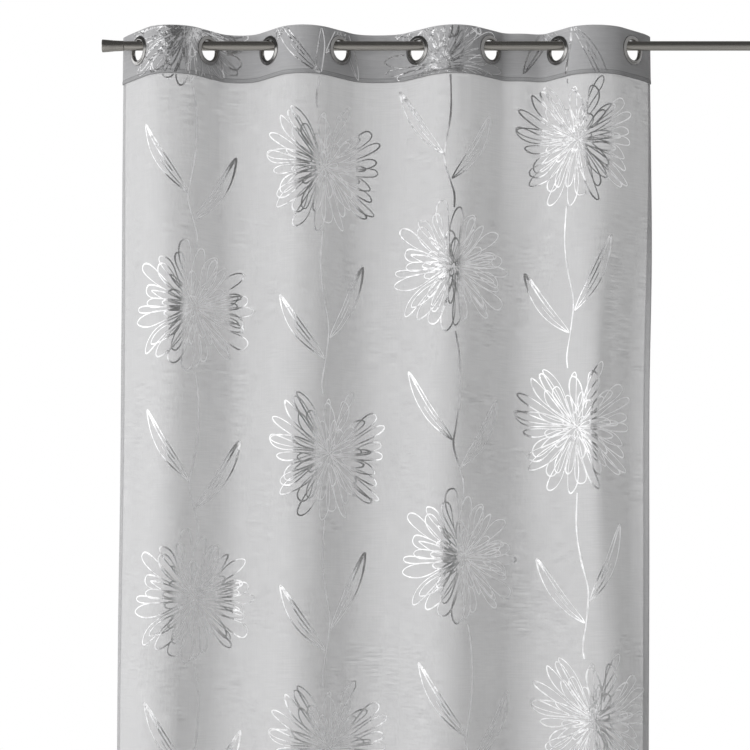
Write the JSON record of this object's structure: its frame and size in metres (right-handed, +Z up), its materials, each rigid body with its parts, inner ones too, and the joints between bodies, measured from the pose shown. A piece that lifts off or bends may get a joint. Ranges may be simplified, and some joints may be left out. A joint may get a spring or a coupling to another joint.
{
  "type": "sheer voile curtain on a metal curtain rod",
  "caption": "Sheer voile curtain with an eyelet heading, foil line flowers, side hems and bottom hem, hanging in soft waves from a round metal rod with flared ends.",
  "frame": {"origin": "on the rod's axis, above the middle of the curtain", "axes": "+Z up along the hanging cloth, +X along the rod to the right seen from the front, -Y out of the front of the cloth"},
  "size_m": [1.353, 0.1309, 2.4015],
  "materials": {
    "voile": "sheer plain weave with fine slubs",
    "heading_voile": "several layers of sheer plain weave, stitched",
    "nickel": "polished nickel plate",
    "rod_steel": "satin nickel plate"
  },
  "bodies": {
    "root": {"panel": "voile", "heading": "heading_voile", "eyelet_1": "nickel", "eyelet_2": "nickel", "eyelet_3": "nickel", "eyelet_4": "nickel", "eyelet_5": "nickel", "eyelet_6": "nickel", "eyelet_7": "nickel", "eyelet_8": "nickel", "rod": "rod_steel", "finial_left": "rod_steel", "finial_right": "rod_steel"}
  },
  "joints": []
}
